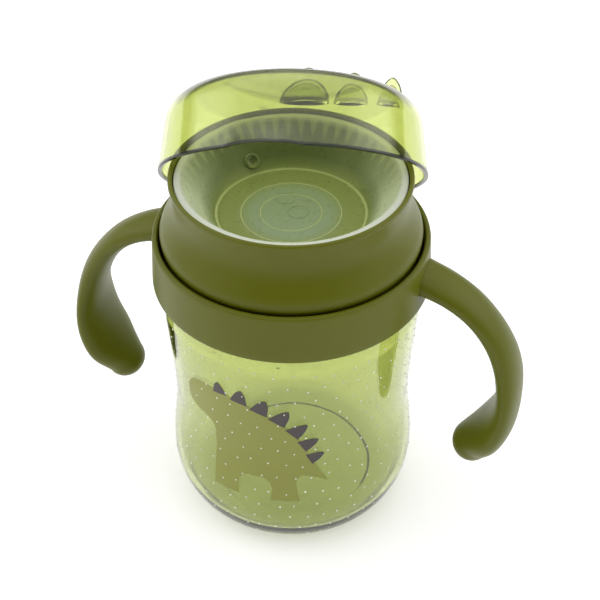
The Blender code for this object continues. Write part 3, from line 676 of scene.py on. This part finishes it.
def buildHandle(side):
    stations = smoothThrough(handle["stations"], handle["steps"])
    middle = collar["bottomZ"] + collar["height"] / 2
    rings = []
    for i, at in enumerate(stations):
        before, after = stations[max(i - 1, 0)], stations[min(i + 1, len(stations) - 1)]
        along = Vector((after[0] - before[0], 0, before[1] - after[1])).normalized()
        centre = Vector((collar["bottomR"] + at[0], 0, middle - at[1]))
        rings.append((centre, along, at[2], at[3]))
    centre, along, thick, wide = rings[-1]
    for step in range(1, handle["tipSteps"] + 1):
        swing = math.pi / 2 * step / (handle["tipSteps"] + 0.15)
        rings.append((centre + along * handle["tip"] * math.sin(swing), along,
                      thick * math.cos(swing), wide * math.cos(swing)))
    grow = bmesh.new()
    loops = []
    for centre, along, thick, wide in rings:
        across = Vector((-along.z, 0, along.x))
        turn = Matrix((across * thick, Vector((0, wide, 0)), along)).transposed().to_4x4()
        made = bmesh.ops.create_circle(grow, segments=handle["sides"], radius=1.0)["verts"]
        bmesh.ops.transform(grow, matrix=Matrix.Translation(centre) @ turn, verts=made)
        loops.append([e for e in grow.edges if e.verts[0] in made and e.verts[1] in made])
    for lower, upper in zip(loops, loops[1:]):
        bmesh.ops.bridge_loops(grow, edges=lower + upper)
    bmesh.ops.holes_fill(grow, edges=loops[0])
    bmesh.ops.holes_fill(grow, edges=loops[-1])
    bmesh.ops.scale(grow, vec=(side * mm, mm, mm), verts=grow.verts)
    bmesh.ops.recalc_face_normals(grow, faces=grow.faces)
    return meshObject("handleTool", grow)


def buildCollar():
    low, high = collar["bottomZ"], collar["bottomZ"] + collar["height"]
    corners = [
        (collar["topR"] - collar["topWidth"], high, collar["soft"] / 2),
        (collar["topR"], high, collar["soft"]), (collar["bottomR"], low, collar["soft"]),
        (collar["flangeR"], low, 0.2),
        (collar["flangeR"], low + collar["flange"], 0.2), (collar["boreR"], low + collar["flange"], 0),
        (collar["boreR"], high - collar["topWidth"], 0),
    ]
    grow = spinProfile(drawProfile(corners, closed=True), 144)
    piece = meshObject("handleCollar", grow, collarOlive)
    for side in (1, -1):
        applyBoolean(piece, buildHandle(side), "UNION")
    return addPiece(piece, "cup", ["handle_collar"])


buildCollar()
print("collar and handles moulded")


ring = {
    "rimTop": 113.9, "rimR": 32.6, "rimWidth": 1.2, "waistR": 31.9, "waistZ": 107.4, "shoulderR": 36.0,
    "shoulderZ": 96.9, "footZ": 95.1, "skirtZ": 94.0, "skirtR": 35.2, "boreR": 32.8, "bottomZ": 83.4,
    "shelfZ": 96.6, "shelfR": 28.3, "shelf": 2.0, "bowlR": 30.0, "ledge": 2.8,
    # the flare from waist to shoulder, as shares of its drop and of its width
    "flare": [(0.16, 0.05), (0.33, 0.18), (0.47, 0.345), (0.6, 0.52), (0.72, 0.70), (0.8, 0.82),
              (0.9, 0.93), (1, 1)],
}


def buildRing():
    innerR = ring["rimR"] - ring["rimWidth"]
    shelfTop = ring["shelfZ"] + ring["shelf"]
    ledgeZ = ring["rimTop"] - ring["ledge"]
    corners = [
        (innerR, ring["rimTop"], 0.5), (ring["rimR"], ring["rimTop"], 0.6),
        (ring["rimR"], ring["rimTop"] - 1.3, 0),
        (ring["waistR"] + 0.35, ring["rimTop"] - 3.2, 0), (ring["waistR"], ring["waistZ"], 0),
    ]
    for down, out in ring["flare"]:
        radius = ring["waistR"] + (ring["shoulderR"] - ring["waistR"]) * out
        corners.append((radius, ring["waistZ"] + (ring["shoulderZ"] - ring["waistZ"]) * down, 0))
    corners += [
        (ring["shoulderR"], ring["footZ"], 0.6), (ring["skirtR"], ring["skirtZ"], 0.2),
        (ring["skirtR"], ring["bottomZ"], 0.5), (ring["boreR"], ring["bottomZ"], 0.5),
        (ring["boreR"], ring["shelfZ"], 0), (ring["shelfR"], ring["shelfZ"], 0.2),
        (ring["shelfR"], shelfTop, 0.2),
        (ring["bowlR"], shelfTop, 0), (ring["bowlR"], ledgeZ, 0), (innerR, ledgeZ, 0),
    ]
    grow = spinProfile(drawProfile(corners, closed=True, longest=1.2), 160)
    piece = meshObject("drinkingRing", grow, ringOlive)
    return addPiece(piece, "ring", ["drinking_ring"])


buildRing()
buildThread("ringThread", ring["boreR"] + thread["sunk"], ring["boreR"] - thread["depth"],
            thread["startZ"] - thread["pitch"] / 2, 1.0, "ring", ringOlive)
print("drinking ring turned")


valve = {
    "lipR": 31.1, "lipZ": 112.8, "lipWidth": 2.0, "skin": 1.2, "floorR": 20.6, "floorZ": 100.7,
    "stemR": 3.0, "bulbR": 4.2, "stem": 3.8, "bulb": 1.6,
    "ribs": [(20.6, 0.35, 0.5), (13.7, 0.22, 0.5), (8.4, 0.08, 0.7)],
    "pips": [(-1.55, 6.5, 2.5), (1.9, 0.0, 2.8)],
    "ventTurn": 138.0, "ventAtR": 22.9, "ventR": 2.15, "ventHeight": 0.9,
}


# along the cone's wall, outwards and up
def coneSlope():
    run = valve["lipR"] - valve["lipWidth"] - valve["floorR"]
    return Vector((run, valve["lipZ"] - valve["floorZ"])).normalized()


def coneZ(radius):
    slope = coneSlope()
    return valve["floorZ"] + (radius - valve["floorR"]) * slope.y / slope.x


def buildValve():
    floorZ, skin, under = valve["floorZ"], valve["skin"], valve["floorZ"] - valve["skin"]
    slope = coneSlope()
    below = Vector((slope.y, -slope.x)) * skin
    top = Vector((valve["lipR"] - valve["lipWidth"], valve["lipZ"])) + below
    foot = Vector((valve["floorR"], floorZ)) + below
    corners = [(0, floorZ, 0)]
    for ribR, high, wide in sorted(valve["ribs"]):
        if ribR < valve["floorR"]:
            corners += [(ribR - wide / 2, floorZ, 0.1), (ribR - wide / 4, floorZ + high, 0.08),
                        (ribR + wide / 4, floorZ + high, 0.08), (ribR + wide / 2, floorZ, 0.1)]
    corners += [
        (valve["floorR"] - 1.2, floorZ, 0.3), (valve["floorR"] - 0.9, floorZ + 0.3, 0.12),
        (valve["floorR"] - 0.3, floorZ + 0.35, 0.12),
        (valve["floorR"] + 0.35, coneZ(valve["floorR"] + 0.35), 0.5),
        (valve["lipR"] - valve["lipWidth"], valve["lipZ"], 0.5), (valve["lipR"], valve["lipZ"], 0.3),
        (valve["lipR"], valve["lipZ"] - skin, 0.2), (top.x, valve["lipZ"] - skin, 0),
        (foot.x - slope.x / slope.y * (foot.y - under), under, 0.8), (valve["stemR"], under, 0),
        (valve["stemR"], under - valve["stem"] + valve["bulb"], 0),
        (valve["bulbR"], under - valve["stem"] + valve["bulb"], 0.3),
        (valve["stemR"], under - valve["stem"], 0.5), (0, under - valve["stem"], 0),
    ]
    grow = spinProfile(drawProfile(corners, longest=1.5), 144)
    piece = meshObject("siliconeValve", grow, silicone)
    bearing = math.radians(valve["ventTurn"])
    out = Vector((-slope.y * math.cos(bearing), -slope.y * math.sin(bearing), slope.x))
    ventR = valve["ventAtR"]
    spot = Vector((ventR * math.cos(bearing), ventR * math.sin(bearing), coneZ(ventR)))
    turn = Matrix.Translation(spot * mm) @ out.to_track_quat("Z", "Y").to_matrix().to_4x4()
    boss = [(0, -0.9, 0), (valve["ventR"], -0.9, 0), (valve["ventR"], valve["ventHeight"], 0.3),
            (valve["ventR"] - 0.75, valve["ventHeight"], 0.25), (1.15, 0.35, 0.2), (0, 0.25, 0)]
    tool = spinProfile(drawProfile(boss, longest=0.6), 40)
    bmesh.ops.transform(tool, matrix=turn, verts=tool.verts)
    applyBoolean(piece, meshObject("boss", tool), "UNION")
    for angle in (0.6, 0.6 + math.pi / 2):
        slit = bmesh.new()
        bmesh.ops.create_cube(slit, size=1.0)
        size = Matrix.Diagonal((1.7 * mm, 0.16 * mm, 0.5 * mm, 1))
        place = turn @ Matrix.Translation((0, 0, 0.25 * mm)) @ Matrix.Rotation(angle, 4, "Z") @ size
        bmesh.ops.transform(slit, matrix=place, verts=slit.verts)
        applyBoolean(piece, meshObject("slit", slit), "DIFFERENCE")
    bearing = math.radians(camera["azimuth"])
    for side, away, radius in valve["pips"]:
        x = side * math.cos(bearing) - away * math.sin(bearing)
        y = side * math.sin(bearing) + away * math.cos(bearing)
        pip = [(radius - 0.22, -0.3, 0), (radius + 0.22, -0.3, 0), (radius + 0.1, 0.14, 0.05),
               (radius - 0.1, 0.14, 0.05)]
        tool = spinProfile(drawProfile(pip, closed=True, longest=0.6), 40)
        bmesh.ops.translate(tool, vec=(x * mm, y * mm, floorZ * mm), verts=tool.verts)
        applyBoolean(piece, meshObject("pip", tool), "UNION")
    return addPiece(piece, "valve_unit", ["silicone_valve"])


carrier = {"hub": 1.3, "wall": 1.0, "topR": 29.0, "gap": 0.3, "footZ": 98.9, "outR": 29.7, "teeth": 48,
           "slotR": 26.8, "slotZ": 108.2, "slotSize": (4.4, 1.75, 5.6)}


def buildCarrier():
    gap, wall, floorZ = carrier["gap"], carrier["wall"], valve["floorZ"]
    slope = coneSlope()
    out = Vector((slope.y, -slope.x))
    run = slope.x / slope.y
    upper = Vector((valve["floorR"], floorZ)) + out * (valve["skin"] + gap)
    lower = upper + out * wall
    hubTop = floorZ - valve["skin"] - gap
    hubLow = hubTop - carrier["hub"]
    top = upper.y + (carrier["topR"] - upper.x) / run
    inside = carrier["outR"] - wall
    corners = [
        (valve["stemR"] + gap, hubTop, 0.1), (upper.x - run * (upper.y - hubTop), hubTop, 0.3),
        (carrier["topR"], top, 0), (carrier["outR"], top, 0.1), (carrier["outR"], carrier["footZ"], 0.1),
        (inside, carrier["footZ"], 0.1), (inside, lower.y + (inside - lower.x) / run, 0),
        (lower.x - run * (lower.y - hubLow), hubLow, 0.3), (valve["stemR"] + gap, hubLow, 0.1),
    ]
    grow = spinProfile(drawProfile(corners, closed=True), 144)
    piece = meshObject("valveCarrier", grow, carrierGreen)
    slots = bmesh.new()
    for i in range(carrier["teeth"]):
        cube = bmesh.ops.create_cube(slots, size=1.0)["verts"]
        size = Matrix.Diagonal((*(side * mm for side in carrier["slotSize"]), 1))
        place = Matrix.Rotation(math.tau * (i + 0.5) / carrier["teeth"], 4, "Z")
        place = place @ Matrix.Translation((carrier["slotR"] * mm, 0, carrier["slotZ"] * mm)) @ size
        bmesh.ops.transform(slots, matrix=place, verts=cube)
    applyBoolean(piece, meshObject("slots", slots), "DIFFERENCE")
    return addPiece(piece, "valve_unit", ["valve_carrier"])


buildValve()
buildCarrier()
print("valve and carrier moulded")


cap = {
    "mouthR": 37.9, "topR": 35.5, "depth": 22.6, "corner": 8.8, "wall": 1.2, "tilt": 46.5, "bearing": 17.0,
    "shift": (0, -63.29, 81.03), "tabOut": 3.4, "tabHeight": 6.2, "tabWidth": 20.5, "tabTurn": -100.0,
    "gateAt": (-9.2, 6.6, 0.7), "gateR": 1.3,
    # along and across the cap's top, half length, half thickness and height of each fin
    "fins": [(2.7, 1.0, 7.1, 2.9, 9.6), (15.9, 1.0, 4.9, 2.6, 8.3), (27.0, 1.0, 3.6, 2.3, 7.0)],
    "sharpAngle": 50, "finWall": 1.3, "finTaper": 1.12, "finLean": 0.12, "finSink": 0.8,
}
capTurn = Matrix.Rotation(math.radians(cap["bearing"]), 4, "Z")
capLean = Matrix.Rotation(math.radians(-cap["tilt"]), 4, "X")
capPlace = capTurn @ capLean @ Matrix.Translation(Vector(cap["shift"]) * mm)
capAxis = capPlace.to_3x3() @ Vector((0, 0, 1))
capMouth = cap["shift"][2]
capTop = capMouth + cap["depth"]
# painted shade on the cap: dark bands at its open edge and round the foot of each fin, and at a corner that
# turns up
capPaintedShade = {
    "axis": tuple(capAxis), "colour": "#23271A", "corner": 0.85,
    "bands": [(capMouth - 2.0, capMouth + 0.75, 0.12, 0.95), (capTop + 0.15, capTop + 1.2, 0.3, 0.7)],
}
# the cap's edge colour is the same painted darker edge at grazing angles, partly the deeper tint, partly
# painted shade
capClear = clearCopolyester("cap copolyester, clear green",
                            dict(clearPlastic, tint="#D9E09C", edge="#7F8850", trapped=capPaintedShade))


def buildFin(at, shrink, sink):
    x, y, halfLong, halfThick, height = at
    halfLong, halfThick, height = halfLong - shrink, halfThick - shrink, height - 2 * shrink
    grow = bmesh.new()
    made = bmesh.ops.create_uvsphere(grow, u_segments=36, v_segments=28, radius=1.0)["verts"]
    for vert in made:
        spot = vert.co
        rise = spot.z
        if rise < -0.001:
            spot.z = -sink
        else:
            narrow = (1 - min(rise, 0.999)) ** (cap["finTaper"] - 1)
            spot.x *= narrow
            spot.y *= narrow
            spot.z = rise * height
        spot.x = x + spot.x * halfLong + cap["finLean"] * max(spot.z, 0)
        spot.y = y + spot.y * halfThick
        spot.z += cap["depth"]
    bmesh.ops.remove_doubles(grow, verts=grow.verts, dist=0.02)
    bmesh.ops.recalc_face_normals(grow, faces=grow.faces)
    bmesh.ops.scale(grow, vec=(mm, mm, mm), verts=grow.verts)
    return meshObject("fin", grow)


def buildCap():
    wall = cap["wall"]
    sharp = cap["sharpAngle"]
    slope = (cap["mouthR"] - cap["topR"]) / cap["depth"]
    innerTopR = cap["mouthR"] - wall - slope * (cap["depth"] - wall)
    corners = [
        (0, cap["depth"], 0), (cap["topR"], cap["depth"], cap["corner"]), (cap["mouthR"], 0, 0.3),
        (cap["mouthR"] - wall, 0, 0.3), (innerTopR, cap["depth"] - wall, cap["corner"] - wall),
        (0, cap["depth"] - wall, 0),
    ]
    grow = spinProfile(drawProfile(corners, roundingSteps=12, longest=1.0), 160)
    half = cap["tabWidth"] / cap["mouthR"] / 2
    for vert in grow.verts:
        spot = vert.co
        turn = (math.atan2(spot.y, spot.x) - math.radians(cap["tabTurn"]) + math.pi) % math.tau - math.pi
        radius = math.hypot(spot.x, spot.y)
        if abs(turn) >= half or spot.z >= cap["tabHeight"] * mm or radius < 30 * mm:
            continue
        flare = math.cos(turn / half * math.pi / 2) ** 0.8 * (1 - spot.z / cap["tabHeight"] / mm) ** 1.6
        spot.x *= 1 + cap["tabOut"] * mm * flare / radius
        spot.y *= 1 + cap["tabOut"] * mm * flare / radius
    piece = meshObject("travelCap", grow, capClear, sharp)
    for at in cap["fins"]:
        applyBoolean(piece, buildFin(at, 0, wall * cap["finSink"]), "UNION", sharp)
    for at in cap["fins"]:
        applyBoolean(piece, buildFin(at, cap["finWall"], 2 * wall), "DIFFERENCE", sharp)
    gate = bmesh.new()
    bmesh.ops.create_uvsphere(gate, u_segments=24, v_segments=12, radius=cap["gateR"] * mm)
    gateSpot = Vector(cap["gateAt"]) + Vector((0, 0, cap["depth"]))
    bmesh.ops.translate(gate, vec=gateSpot * mm, verts=gate.verts)
    applyBoolean(piece, meshObject("gate", gate), "DIFFERENCE", sharp)
    piece.data.transform(capPlace)
    return addPiece(piece, "cap", ["travel_cap"])


buildCap()
print("travel cap moulded")
